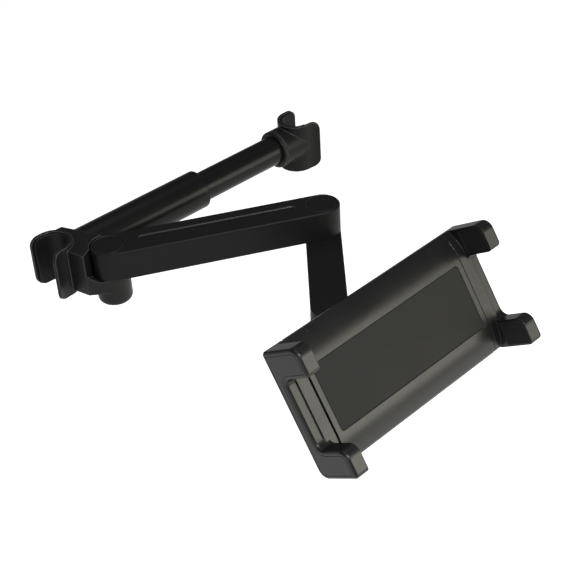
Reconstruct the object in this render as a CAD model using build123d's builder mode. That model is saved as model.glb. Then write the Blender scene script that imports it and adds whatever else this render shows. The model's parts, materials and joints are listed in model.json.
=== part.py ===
"""Headrest tablet mount: a sprung telescopic bar hooks on two headrest posts, a folding pair of arms
carries a swivel, tilt and spin head, and a cradle with two linked sliding jaws grips the tablet.

Millimetres, +Z up. The origin is on the axis of the fixed hook's post, at the middle of the hook.
+X runs along the bar to the sliding hook, and -Y points at the passenger.
"""

import os
from math import cos, pi, radians, sin

from build123d import *

os.makedirs("parts", exist_ok=True)

# Fits: parts that turn or slide on each other, parts that stand clear, parts that are fixed together,
# and how far a cut or a root runs past the face that it starts from
running = 0.05
clear = 0.3
seat = 0.02
overcut = 1.0

# Hooks for the headrest posts
post_spacing = 195.5
hook_bore = 8.5
liner_wall = 1.7
shell_wall = 1.8
hook_bottom = -17.5
hook_top = 16.0
finger_reach = 9.0
finger_corner = 6.0
lip_reach = 8.5
lip_flare = 2.6
lip_edge = 1.9
liner_reach = 7.5
liner_corner = 4.5
liner_end = 0.5

# Telescopic bar
bar_height = 1.0
sleeve_radius = 12.5
sleeve_wall = 1.7
sleeve_end = 110.5
tube_radius = 9.5
tube_wall = 1.6
tube_inset = 1.3
bush_length = 9.5
guide_length = 10.0
spigot_end = 40.0
spring_seat = 24.0
spring_stop_start = 104.0
spring_stop_length = 6.0
spring_radius = 6.4
spring_wire = 1.2
spring_turns = 8
rim_round = 1.0
bush_inset = 0.3
sleeve_screw_sink = 0.6
screw_inset = 2.0

# Fixed clamp block, web and lug
block_top = 13.6
block_bottom = -14.5
block_front = (4.8, -23.5)
block_root = 1.5
shoulder_x = 20.1
shoulder_slope = 0.467
shoulder_front_y = -12.4
ledge_top = -1.0
web_ramp = 5.5
web_corner = 0.1
lug_radius = 10.5
lug_bottom = -24.8
lug_round = 3.0
notch_gap = 0.6
nut_cover = 3.3
collar_length = 21.0
collar_rim = 2.2
collar_groove = 0.8
collar_groove_depth = 0.5

# Folding arms
arm_half_width = 11.0
arm_wall = 2.2
arm_edge_round = 0.9
arm1_pivot = (22.7, -24.3)
arm1_angle = -27.2
arm1_swings = (-70.0, 26.5)
arm1_length = 131.25
arm1_top = 13.6
arm1_bottom = -5.5
arm1_roof = 4.6
arm2_angle = -131.0
arm2_length = 68.5
arm2_tail = 8.0
arm2_thickness = 7.0
arm2_roof = 2.5
nut_boss = 4.2
rib = 1.6
rib_bite = 0.5
cover_thickness = 2.0
groove_start = 18.3
groove_end = 115.1
groove_width = 4.4
groove_offset = 1.2
groove_depth = 0.7
cap_radius = 9.1
cap_thickness = 2.3
cap_gap = 0.45
cap_edge = 0.4
pivot_gap = 0.3

# Pivot hardware
bolt_radius = 3.0
bolt_head_radius = 5.0
bolt_head = 4.0
nut_across = 10.0
nut_height = 5.0
washer_radius = 9.0
washer_thickness = 1.3
head_washer_radius = 5.9
head_washer = 1.2
small_bolt_radius = 2.5
small_head_radius = 4.2
small_head = 3.0
small_nut_across = 8.0
small_nut = 3.4
tapping_radius = 1.5
tapping_head_radius = 2.9
tapping_head = 1.8
cover_screw_length = 8.0
screw_sink = 1.0
bolt_socket = 2.5
small_socket = 2.0
head_play = 0.2
head_cover = 0.5
insert_wall = 1.3
insert_roof = 1.6

# Swivel and tilt head
head_disc_bottom = -19.0
tilt_height = -48.1
cheek_gap = 5.3
cheek_thickness = 4.0
cheek_radius = 9.0
cheek_top_width = 14.0
yoke_plate = 3.0
barrel_radius = 8.5
tongue_width = 15.0
tongue_play = 0.2
tongue_length = 34.0
flange_radius = 13.0
flange_thickness = 4.0
spigot_radius = 6.0
spin_screw_radius = 2.0
spin_screw_length = 14.0
spin_head_radius = 3.8
spin_head = 2.5
spin_socket = 1.5
spin_washer_radius = 7.7

# Cradle: H across, V up its face, N out of its face, from the middle of the pad
cradle_yaw = 2.56
cradle_tilt = 32.9
neck_reach = 66.5
plate_half_length = 63.9
plate_half_height = 38.5
plate_flat = 20.3
shoulder_inset = 1.3
shoulder_n = -5.0
seam_n = -6.5
edge_n = -8.5
back_n = -10.0
back_inset = 1.3
plate_under = -3.3
tray_floor = -8.0
tray_wall = 2.1
boss_back = -20.0
tray_end = 2.0
plate_inner_inset = 6.5
boss_root_radius = 18.0
boss_tip_radius = 13.0
pad_margin = 3.5
pad_edge = 0.2
pad_play = 0.2
pad_thickness = 1.2
pad_corner = 2.0
case_screw_h = 50.0
case_screw_inset = 4.6
case_boss_radius = 2.3
case_screw_radius = 1.1
case_screw_length = 3.5
case_boss_gap = 0.9

# Jaws and the gear that links them
left_split = 1.3
right_split = 0.4
jaw_outer = 79.0
jaw_inner = 72.5
jaw_corner = 6.0
jaw_edge = 1.8
jaw_heel = 6.0
ledge_drop = 1.0
claw_inner = 69.8
claw_low = 21.3
claw_top = 21.6
claw_tip = 2.6
claw_root = 5.0
panel_inset = 0.6
panel_line = 0.5
panel_depth = 0.3
grip_thickness = 1.5
grip_sunk = 1.2
grip_low = 1.5
grip_side = 1.3
grip_gap = 0.1
arm_low = -5.7
arm_high = -3.5
slide_reach = 45.0
slide_width = 3.5
slide_bite = 1.0
rail_width = 1.6
rail_height = -4.7
rail_inset = 9.0
rail_play = 0.2
gear_module = 1.0
gear_teeth = 14
gear_v = 19.5
tooth_root = 2.0
tooth_tip = 0.55
tooth_sink = 0.35
gear_tooth_base = 2.36
gear_flank = 70.0
post_radius = 2.5
spring_strip = 0.5
spiral_start = 3.65
spiral_half_turns = 6
spiral_height = 1.8

# Derived sizes
shell_in = hook_bore + liner_wall
shell_out = shell_in + shell_wall
tube_end = post_spacing - shell_in - tube_inset
collar_mouth = post_spacing - collar_length
hook_height = hook_top - hook_bottom
sleeve_bore = sleeve_radius - sleeve_wall
bush_start = sleeve_end - bush_inset - bush_length
tube_start = bush_start - guide_length
screw_x = (spigot_end + shoulder_x) / 2 + screw_inset
collar_screw_x = (collar_mouth + tube_end) / 2
notch_radius = arm_half_width + notch_gap
lug_top = arm1_bottom - pivot_gap
arm2_top = arm1_bottom - pivot_gap
arm2_bottom = arm2_top - arm2_thickness
head_top = arm2_bottom - pivot_gap
arm1_height = arm1_top - arm1_bottom
cap_floor = arm1_top - cap_thickness
head_seat = cap_floor - head_cover - bolt_head - head_washer
bolt_head_top = head_seat + head_washer + bolt_head
gear_radius = gear_module * gear_teeth / 2
gear_pitch = pi * gear_module
addendum = 0.9 * gear_module
dedendum = 1.25 * gear_module
slide_inner_v = gear_v - gear_radius - dedendum
slide_outer_v = gear_v + gear_radius + dedendum
flange_n = boss_back - washer_thickness
tongue_thickness = 2 * (cheek_gap - clear - tongue_play)
insert_radius = small_bolt_radius + insert_wall
shoulder_v = plate_half_height - shoulder_inset
back_v = plate_half_height - back_inset
plate_inner_v = plate_half_height - plate_inner_inset
case_screw_v = plate_half_height - case_screw_inset
pad_length = 2 * (plate_half_length - pad_margin)
pad_height = 2 * (plate_flat - pad_edge)

# Derived frames
swing1 = (cos(radians(arm1_angle)), sin(radians(arm1_angle)), 0)
swing2 = (cos(radians(arm2_angle)), sin(radians(arm2_angle)), 0)
pivot2 = (arm1_pivot[0] + arm1_length * swing1[0], arm1_pivot[1] + arm1_length * swing1[1])
pivot3 = (pivot2[0] + arm2_length * swing2[0], pivot2[1] + arm2_length * swing2[1])
yaw = radians(cradle_yaw)
tilt = radians(cradle_tilt)
across = Vector(cos(yaw), sin(yaw), 0)
back = Vector(-sin(yaw), cos(yaw), 0)
normal = Vector(cos(tilt) * sin(yaw), -cos(tilt) * cos(yaw), sin(tilt))
upward = normal.cross(across)
tilt_point = Vector(pivot3[0], pivot3[1], tilt_height)
cradle_centre = tilt_point + normal * neck_reach

arm1_plane = Plane(origin=(*arm1_pivot, arm1_bottom), x_dir=swing1, z_dir=(0, 0, 1))
arm2_plane = Plane(origin=(*pivot2, arm2_bottom), x_dir=swing2, z_dir=(0, 0, 1))
tilt_plane = Plane(origin=tilt_point, x_dir=back, z_dir=across)


def face_plane(n):
    """Plane parallel to the cradle's face, n in front of the pad."""
    return Plane(origin=cradle_centre + normal * n, x_dir=across, z_dir=normal)


def side_plane(h):
    """Plane across the cradle at h, drawn in V and N; extrudes toward +H."""
    return Plane(origin=cradle_centre + across * h, x_dir=upward, z_dir=across)


def section_plane(v):
    """Plane along the cradle at v, drawn in H and N; extrudes toward -V."""
    return Plane(origin=cradle_centre + upward * v, x_dir=across, z_dir=upward * -1)


def level(z):
    """Horizontal plane at height z."""
    return Plane.XY.offset(z)


def bar_plane(x):
    """Plane across the bar's axis at x."""
    return Plane(origin=(x, 0, bar_height), x_dir=(0, 1, 0), z_dir=(1, 0, 0))


def shoulder(y):
    """Where the clamp block's slanted shoulder meets the sleeve, at y."""
    return shoulder_x - shoulder_slope * y


def hook_outline(mouth):
    """Plan of a hook's shell: a straight far finger and a near finger that flares to a lip."""
    lip = (mouth * lip_reach, -shell_out - lip_flare)
    lip_inside = (mouth * (lip_reach + 0.6 * lip_edge), -shell_out - lip_flare + 0.8 * lip_edge)
    with BuildSketch() as outline:
        with BuildLine():
            Line((mouth * finger_reach, shell_out), (0, shell_out))
            ThreePointArc((0, shell_out), (-mouth * shell_out, 0), (0, -shell_out))
            Spline((0, -shell_out), lip, tangents=((mouth, 0), (0.8 * mouth, -0.6)))
            Line(lip, lip_inside)
            Spline(lip_inside, (0, -shell_in), tangents=((-0.8 * mouth, 0.6), (-mouth, 0)))
            ThreePointArc((0, -shell_in), (-mouth * shell_in, 0), (0, shell_in))
            Line((0, shell_in), (mouth * finger_reach, shell_in))
            Line((mouth * finger_reach, shell_in), (mouth * finger_reach, shell_out))
        make_face()
    return outline.sketch


def liner_outline(mouth):
    """Plan of the rubber liner inside a hook."""
    outer = shell_in - seat
    with BuildSketch() as outline:
        Circle(outer)
        with Locations((mouth * liner_reach / 2, outer / 2)):
            Rectangle(liner_reach, outer)
        Circle(hook_bore, mode=Mode.SUBTRACT)
        with Locations((mouth * outer / 2, (hook_bore - outer) / 2)):
            Rectangle(outer, hook_bore + outer, mode=Mode.SUBTRACT)
    return outline.sketch


def hook_liner(centre_x, mouth):
    """Rubber liner of a hook, its free corners rounded like the finger's that it lies on."""
    with BuildPart() as liner:
        with BuildSketch(Plane(origin=(centre_x, 0, hook_bottom + liner_end))):
            add(liner_outline(mouth))
        extrude(amount=hook_height - 2 * liner_end)
        end_x = centre_x + mouth * liner_reach
        free_end = [edge for edge in liner.edges() if abs(edge.center().X - end_x) < 0.01]
        fillet([edge for edge in free_end if abs(edge.tangent_at(0).Z) < 0.5], liner_corner)
    return liner.part


def free_corners(part, centre_x, mouth):
    """Short level edges at the top and bottom of both finger ends of a hook."""
    far_x = centre_x + mouth * finger_reach
    lip_x = centre_x + mouth * lip_reach
    found = []
    for edge in part.edges().filter_by(GeomType.LINE):
        middle = edge.center()
        if abs(edge.tangent_at(0).Z) > 0.5:
            continue
        at_far = abs(middle.X - far_x) < 0.1 and middle.Y > 0
        at_lip = mouth * (middle.X - lip_x) > 0.1 and middle.Y < -shell_out
        if at_far or at_lip:
            found.append(edge)
    return found


def jaw_outline():
    """Outline shared by the plate, tray and jaws across the cradle, in V and N."""
    with BuildSketch() as outline:
        with BuildLine():
            flat = Line((-plate_flat, 0), (plate_flat, 0))
            roll = TangentArc((plate_flat, 0), (shoulder_v, shoulder_n), tangent=(1, 0))
            Polyline(
                roll @ 1,
                (plate_half_height, seam_n),
                (plate_half_height, edge_n),
                (back_v, back_n),
                (-back_v, back_n),
                (-plate_half_height, edge_n),
                (-plate_half_height, seam_n),
                (-shoulder_v, shoulder_n),
            )
            TangentArc(flat @ 0, (-shoulder_v, shoulder_n), tangent=(-1, 0))
        make_face()
    return outline.sketch


def corner_cutter(corner, inward, radius):
    """Sketch of what rounding off a square corner takes away; inward points from it into the part."""
    middle = (corner[0] + inward[0] * radius, corner[1] + inward[1] * radius)
    with BuildSketch() as cutter:
        with Locations((corner[0] + inward[0] * radius / 2, corner[1] + inward[1] * radius / 2)):
            Rectangle(radius, radius)
        with Locations(middle):
            Circle(radius, mode=Mode.SUBTRACT)
    return cutter.sketch


def finger_outline(up, foot):
    """Front outline of the upper or lower claw in V and N, from foot to its top: round above, crisp below."""
    low, high = sorted((up * claw_low, up * plate_half_height))
    with BuildSketch() as outline:
        with BuildLine():
            Polyline((low, foot), (low, claw_top), (high, claw_top), (high, foot), close=True)
        make_face()
        fillet(outline.vertices().sort_by_distance((high, claw_top, 0))[0], jaw_corner)
        fillet(outline.vertices().sort_by_distance((low, claw_top, 0))[0], claw_tip)
    return outline.sketch


def claw(up):
    """One claw of a jaw, its foot swept into the jaw's ledge."""
    with BuildPart() as piece:
        with BuildSketch(side_plane(claw_inner)):
            add(finger_outline(up, seam_n))
            add(corner_cutter((up * claw_low, -ledge_drop), (-up, 1), claw_root))
        extrude(amount=jaw_outer - claw_inner)
    return piece.part


def grip_faces(recess):
    """Faces of the two rubber grips of a jaw in V and N, grown by recess where they are let in."""
    with BuildSketch() as faces:
        for up in (1, -1):
            finger = finger_outline(up, grip_low - grip_side)
            add(offset(finger, amount=recess - grip_side, mode=Mode.PRIVATE))
    return faces.sketch


def jaw_end(split):
    """End moulding of the right jaw, without its slides; the left one is its mirror image."""
    inner = plate_half_length + split
    with BuildPart() as end:
        with BuildSketch(side_plane(inner)):
            add(jaw_outline())
        extrude(amount=jaw_outer - inner)
        with BuildSketch(face_plane(-ledge_drop)):
            with Locations(((jaw_inner + jaw_outer) / 2, 0)):
                Rectangle(jaw_outer - jaw_inner, 2 * plate_half_height)
        extrude(amount=2 * ledge_drop, mode=Mode.SUBTRACT)
        add(claw(1))
        add(claw(-1))
        with BuildSketch(side_plane(inner)):
            add(corner_cutter((-plate_half_height, back_n), (1, 1), jaw_heel))
        extrude(amount=jaw_outer - inner, mode=Mode.SUBTRACT)
        outer_face = end.faces().sort_by(Axis(cradle_centre, across))[-1]
        fillet(outer_face.edges(), jaw_edge)
        panel = end.faces().sort_by(Axis(cradle_centre, across))[-1].outer_wire()
        line = Face(panel.offset_2d(-panel_inset), [panel.offset_2d(-panel_inset - panel_line)])
        extrude(line, amount=panel_depth, dir=across * -1, mode=Mode.SUBTRACT)
        with BuildSketch(side_plane(claw_inner)):
            add(grip_faces(grip_gap))
        extrude(amount=grip_sunk, mode=Mode.SUBTRACT)
    return end.part


def slide_bar(side, low_v, split):
    """One slide of a jaw, grooved below to ride on a rail of the tray."""
    with BuildPart() as bar:
        with BuildSketch(face_plane(arm_low)):
            start = side * (plate_half_length + split + slide_bite)
            with Locations(((start - side * slide_reach) / 2, low_v + slide_width / 2)):
                Rectangle(abs(start) + slide_reach, slide_width)
        extrude(amount=arm_high - arm_low)
        with BuildSketch(face_plane(arm_low)):
            with Locations((-side * slide_bite, low_v + slide_width / 2)):
                Rectangle(2 * plate_half_length, rail_width + 2 * clear)
        extrude(amount=rail_height + rail_play - arm_low, mode=Mode.SUBTRACT)
    return bar.part


def rack_teeth(side, root_v, toward):
    """Row of rack teeth standing off a slide's edge toward the gear."""
    count = int((slide_reach - 2 * slide_bite) / gear_pitch)
    with BuildSketch() as row:
        for k in range(count):
            middle = -side * (k - 0.5) * gear_pitch
            with BuildLine():
                Polyline(
                    (middle - tooth_root / 2, root_v - toward * tooth_sink),
                    (middle - tooth_root / 2, root_v),
                    (middle - tooth_tip / 2, root_v + toward * (addendum + dedendum)),
                    (middle + tooth_tip / 2, root_v + toward * (addendum + dedendum)),
                    (middle + tooth_root / 2, root_v),
                    (middle + tooth_root / 2, root_v - toward * tooth_sink),
                    close=True,
                )
            make_face()
    return row.sketch


def pivot_web():
    """Web from the clamp block to the pivot lug, its top sloped down to the lug's."""
    with BuildPart() as web:
        with BuildSketch(level(block_bottom)):
            with Locations(arm1_pivot):
                Circle(lug_radius)
            with Locations(block_front, (shoulder(shoulder_front_y), shoulder_front_y)):
                Circle(web_corner)
            make_hull()
        extrude(amount=ledge_top - block_bottom)
        with BuildSketch(Plane.XZ):
            with BuildLine():
                Polyline(
                    (block_front[0], ledge_top),
                    (block_front[0] + web_ramp, lug_top),
                    (block_front[0] + post_spacing, lug_top),
                    (block_front[0] + post_spacing, ledge_top),
                    close=True,
                )
            make_face()
        extrude(amount=post_spacing, both=True, mode=Mode.SUBTRACT)
    return web.part


# Fixed clamp: hook, block with the slanted shoulder, web, pivot lug and the spigot for the sleeve
with BuildPart() as left_clamp:
    with BuildSketch(level(hook_bottom)):
        add(hook_outline(-1))
    extrude(amount=hook_height)
    fillet(free_corners(left_clamp, 0, -1), finger_corner)
    with BuildSketch(level(block_bottom)):
        with BuildLine():
            Polyline(
                (block_root, -shell_in - overcut),
                block_front,
                (shoulder(shoulder_front_y), shoulder_front_y),
                (shoulder(shell_out), shell_out),
                (0, shell_out),
                close=True,
            )
        make_face()
        Circle(shell_in, mode=Mode.SUBTRACT)
    extrude(amount=block_top - block_bottom)
    add(pivot_web())
    with BuildSketch(level(lug_top)):
        with Locations(arm1_pivot):
            Circle(notch_radius)
        for swing in arm1_swings:
            with Locations(Location((*arm1_pivot, 0), (0, 0, arm1_angle + swing))):
                Rectangle(2 * notch_radius, 2 * notch_radius, align=(Align.MIN, Align.CENTER))
    extrude(amount=block_top - lug_top, mode=Mode.SUBTRACT)
    with BuildSketch(level(lug_bottom)):
        with Locations(arm1_pivot):
            Circle(lug_radius)
    extrude(amount=lug_top - lug_bottom)
    fillet(left_clamp.faces().sort_by(Axis.Z)[0].edges(), lug_round)
    with BuildSketch(bar_plane(shell_out + overcut)):
        Circle(sleeve_bore - seat)
    extrude(amount=spigot_end - shell_out - overcut)
    with BuildSketch(bar_plane(spring_seat)):
        Circle(spring_radius + spring_wire)
    extrude(amount=spigot_end - spring_seat, mode=Mode.SUBTRACT)
    with BuildSketch(level(lug_bottom)):
        with Locations(arm1_pivot):
            Circle(bolt_radius + seat)
    extrude(amount=lug_top - lug_bottom, mode=Mode.SUBTRACT)
    with BuildSketch(level(lug_bottom)):
        with Locations(arm1_pivot):
            RegularPolygon(nut_across / 2 + grip_gap, 6, major_radius=False)
    extrude(amount=nut_height + nut_cover, mode=Mode.SUBTRACT)
    with BuildSketch(level(lug_top)):
        with Locations(arm1_pivot):
            Circle(washer_radius + seat)
    extrude(amount=-(washer_thickness - pivot_gap), mode=Mode.SUBTRACT)
    with BuildSketch(level(bar_height - sleeve_radius)):
        with Locations((screw_x, 0)):
            Circle(tapping_radius + seat)
    extrude(amount=sleeve_radius - spring_radius, mode=Mode.SUBTRACT)

with BuildPart() as left_hook_liner:
    add(hook_liner(0, -1))

# Sleeve, its end cut to the block's shoulder so that it can't turn
with BuildPart() as outer_sleeve:
    with BuildSketch(bar_plane(shell_out)):
        Circle(sleeve_radius)
    extrude(amount=sleeve_end - shell_out)
    fillet(outer_sleeve.edges().filter_by(GeomType.CIRCLE).sort_by(Axis.X)[-1], rim_round)
    with BuildSketch(bar_plane(shell_out)):
        Circle(sleeve_bore)
    extrude(amount=sleeve_end - shell_out, mode=Mode.SUBTRACT)
    with BuildSketch(level(-2 * sleeve_radius)):
        with BuildLine():
            Polyline(
                (0, -2 * sleeve_radius),
                (shoulder(-2 * sleeve_radius), -2 * sleeve_radius),
                (shoulder(2 * sleeve_radius), 2 * sleeve_radius),
                (0, 2 * sleeve_radius),
                close=True,
            )
        make_face()
    extrude(amount=4 * sleeve_radius, mode=Mode.SUBTRACT)
    with BuildSketch(level(bar_height - sleeve_radius)):
        with Locations((screw_x, 0)):
            Circle(tapping_head_radius + grip_gap)
    extrude(amount=sleeve_screw_sink, mode=Mode.SUBTRACT)
    with BuildSketch(level(bar_height - sleeve_radius)):
        with Locations((screw_x, 0)):
            Circle(tapping_radius + seat)
    extrude(amount=sleeve_wall + overcut, mode=Mode.SUBTRACT)

with BuildPart() as sleeve_bush:
    with BuildSketch(bar_plane(bush_start)):
        Circle(sleeve_bore - seat)
        Circle(tube_radius + running, mode=Mode.SUBTRACT)
    extrude(amount=bush_length)

with BuildPart() as sleeve_screw:
    with BuildSketch(level(bar_height - sleeve_radius + sleeve_screw_sink)):
        with Locations((screw_x, 0)):
            Circle(tapping_head_radius)
    extrude(amount=-tapping_head)
    with BuildSketch(level(bar_height - sleeve_radius + sleeve_screw_sink)):
        with Locations((screw_x, 0)):
            Circle(tapping_radius)
    extrude(amount=sleeve_wall + sleeve_screw_sink)

with BuildPart() as bar_spring:
    with BuildLine() as coil:
        Helix(
            pitch=(spring_stop_start - spring_seat - spring_wire) / spring_turns,
            height=spring_stop_start - spring_seat - spring_wire,
            radius=spring_radius,
            center=(spring_seat + spring_wire / 2, 0, bar_height),
            direction=(1, 0, 0),
        )
    with BuildSketch(Plane(origin=coil.line @ 0, z_dir=coil.line % 0)):
        Rectangle(spring_wire, spring_wire)
    sweep(is_frenet=True)

# Sliding side: tube, guide ring, spring stop and the sliding clamp
with BuildPart() as inner_tube:
    with BuildSketch(bar_plane(tube_start)):
        Circle(tube_radius)
        Circle(tube_radius - tube_wall, mode=Mode.SUBTRACT)
    extrude(amount=tube_end - tube_start)
    with BuildSketch(level(bar_height - tube_radius)):
        with Locations((collar_screw_x, 0)):
            Circle(tapping_radius + seat)
    extrude(amount=2 * tube_wall, mode=Mode.SUBTRACT)

with BuildPart() as tube_guide:
    with BuildSketch(bar_plane(tube_start)):
        Circle(sleeve_bore - running)
        Circle(tube_radius + seat, mode=Mode.SUBTRACT)
    extrude(amount=guide_length)

with BuildPart() as spring_stop:
    with BuildSketch(bar_plane(spring_stop_start)):
        Circle(tube_radius - tube_wall - seat)
    extrude(amount=spring_stop_length)

with BuildPart() as right_clamp:
    with BuildSketch(Plane(origin=(post_spacing, 0, hook_bottom))):
        add(hook_outline(1))
    extrude(amount=hook_height)
    fillet(free_corners(right_clamp, post_spacing, 1), finger_corner)
    with BuildSketch(bar_plane(collar_mouth)):
        Circle(sleeve_radius)
    extrude(amount=post_spacing - collar_mouth)
    fillet(right_clamp.edges().filter_by(GeomType.CIRCLE).sort_by(Axis.X)[0], rim_round)
    with BuildSketch(Plane(origin=(post_spacing, 0, hook_bottom))):
        Circle(shell_in)
    extrude(amount=hook_height, mode=Mode.SUBTRACT)
    with BuildSketch(bar_plane(collar_mouth + collar_rim)):
        Circle(sleeve_radius + clear)
        Circle(sleeve_radius - collar_groove_depth, mode=Mode.SUBTRACT)
    extrude(amount=collar_groove, mode=Mode.SUBTRACT)
    with BuildSketch(bar_plane(collar_mouth)):
        Circle(tube_radius + seat)
    extrude(amount=tube_end - collar_mouth, mode=Mode.SUBTRACT)
    with BuildSketch(level(bar_height - sleeve_radius)):
        with Locations((collar_screw_x, 0)):
            Circle(tapping_head_radius + grip_gap)
    extrude(amount=screw_sink, mode=Mode.SUBTRACT)
    with BuildSketch(level(bar_height - sleeve_radius)):
        with Locations((collar_screw_x, 0)):
            Circle(tapping_radius + seat)
    extrude(amount=sleeve_radius - tube_radius + tube_wall, mode=Mode.SUBTRACT)

with BuildPart() as right_hook_liner:
    add(hook_liner(post_spacing, 1))

with BuildPart() as collar_screw:
    with BuildSketch(level(bar_height - sleeve_radius + screw_sink)):
        with Locations((collar_screw_x, 0)):
            Circle(tapping_head_radius)
    extrude(amount=-tapping_head)
    with BuildSketch(level(bar_height - sleeve_radius + screw_sink)):
        with Locations((collar_screw_x, 0)):
            Circle(tapping_radius)
    extrude(amount=sleeve_radius - tube_radius - screw_sink + tube_wall)

# First arm: hollow beam with a roof, ribs, solid pivot ends, cap recesses and a bottom cover
beam_start = arm_half_width
beam_length = arm1_length - 2 * arm_half_width
beam_width = 2 * (arm_half_width - arm_wall)
cover_screws = [(beam_start + beam_length * t, 0) for t in (0.12, 0.5, 0.88)]
with BuildPart() as arm1_body:
    with BuildSketch(arm1_plane):
        with Locations((arm1_length / 2, 0)):
            SlotCenterToCenter(arm1_length, 2 * arm_half_width)
    extrude(amount=arm1_height)
    fillet(arm1_body.faces().sort_by(Axis.Z)[-1].edges(), arm_edge_round)
    with BuildSketch(arm1_plane):
        with Locations((arm1_length / 2, 0)):
            Rectangle(beam_length, beam_width)
    extrude(amount=arm1_height - arm1_roof, mode=Mode.SUBTRACT)
    with BuildSketch(arm1_plane.offset(cover_thickness)):
        with Locations((arm1_length / 2, 0)):
            Rectangle(beam_length + 2 * rib_bite, rib)
            with GridLocations(beam_length / 6, 0, 5, 1):
                Rectangle(rib, beam_width + 2 * rib_bite)
        with Locations(*cover_screws):
            Circle(tapping_head_radius)
    extrude(amount=arm1_height - arm1_roof - cover_thickness)
    with BuildSketch(arm1_plane.offset(cover_thickness)):
        with Locations(*cover_screws):
            Circle(tapping_radius + seat)
    extrude(amount=cover_screw_length, mode=Mode.SUBTRACT)
    with BuildSketch(arm1_plane.offset(arm1_height)):
        with Locations((0, 0), (arm1_length, 0)):
            Circle(cap_radius + cap_gap)
    extrude(amount=-cap_thickness, mode=Mode.SUBTRACT)
    with BuildSketch(arm1_plane.offset(head_seat - arm1_bottom)):
        with Locations((0, 0), (arm1_length, 0)):
            Circle(head_washer_radius + head_play)
    extrude(amount=cap_floor - head_seat, mode=Mode.SUBTRACT)
    with BuildSketch(arm1_plane):
        with Locations((0, 0), (arm1_length, 0)):
            Circle(bolt_radius + running)
    extrude(amount=arm1_height, mode=Mode.SUBTRACT)
    with BuildSketch(arm1_plane.offset(arm1_height)):
        with Locations(((groove_start + groove_end) / 2, groove_offset)):
            SlotOverall(groove_end - groove_start, groove_width)
    extrude(amount=-groove_depth, mode=Mode.SUBTRACT)

with BuildPart() as arm1_cover:
    with BuildSketch(arm1_plane):
        with Locations((arm1_length / 2, 0)):
            Rectangle(beam_length - 2 * seat, beam_width - 2 * seat)
        with Locations(*cover_screws):
            Circle(tapping_radius + seat, mode=Mode.SUBTRACT)
    extrude(amount=cover_thickness)
    with BuildSketch(arm1_plane):
        with Locations(*cover_screws):
            Circle(tapping_head_radius + grip_gap)
    extrude(amount=screw_sink, mode=Mode.SUBTRACT)

with BuildPart() as arm1_cover_screws:
    with BuildSketch(arm1_plane):
        with Locations(*cover_screws):
            Circle(tapping_head_radius)
    extrude(amount=screw_sink)
    with BuildSketch(arm1_plane.offset(screw_sink)):
        with Locations(*cover_screws):
            Circle(tapping_radius)
    extrude(amount=cover_screw_length)

with BuildPart() as left_cap:
    with BuildSketch(Plane(origin=(*arm1_pivot, cap_floor))):
        Circle(cap_radius)
    extrude(amount=cap_thickness)
    fillet(left_cap.faces().sort_by(Axis.Z)[-1].edges(), cap_edge)

with BuildPart() as right_cap:
    with BuildSketch(Plane(origin=(*pivot2, cap_floor))):
        Circle(cap_radius)
    extrude(amount=cap_thickness)
    fillet(right_cap.faces().sort_by(Axis.Z)[-1].edges(), cap_edge)

# Pivot between the fixed lug and the first arm
left_nut_base = lug_bottom + nut_cover
with BuildPart() as left_pivot_bolt:
    with BuildSketch(Plane(origin=(*arm1_pivot, bolt_head_top))):
        Circle(bolt_head_radius)
    extrude(amount=-bolt_head)
    with BuildSketch(Plane(origin=(*arm1_pivot, bolt_head_top))):
        RegularPolygon(bolt_socket, 6, major_radius=False)
    extrude(amount=-bolt_socket, mode=Mode.SUBTRACT)
    with BuildSketch(Plane(origin=(*arm1_pivot, bolt_head_top - bolt_head))):
        Circle(bolt_radius)
    extrude(amount=left_nut_base - screw_sink - (bolt_head_top - bolt_head))

with BuildPart() as left_pivot_nut:
    with BuildSketch(Plane(origin=(*arm1_pivot, left_nut_base))):
        RegularPolygon(nut_across / 2, 6, major_radius=False)
        Circle(bolt_radius + seat, mode=Mode.SUBTRACT)
    extrude(amount=nut_height)

with BuildPart() as left_head_washer:
    with BuildSketch(Plane(origin=(*arm1_pivot, head_seat))):
        Circle(head_washer_radius)
        Circle(bolt_radius + running, mode=Mode.SUBTRACT)
    extrude(amount=head_washer)

with BuildPart() as left_friction_washer:
    with BuildSketch(Plane(origin=(*arm1_pivot, arm1_bottom))):
        Circle(washer_radius)
        Circle(bolt_radius + seat, mode=Mode.SUBTRACT)
    extrude(amount=-washer_thickness)

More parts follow.
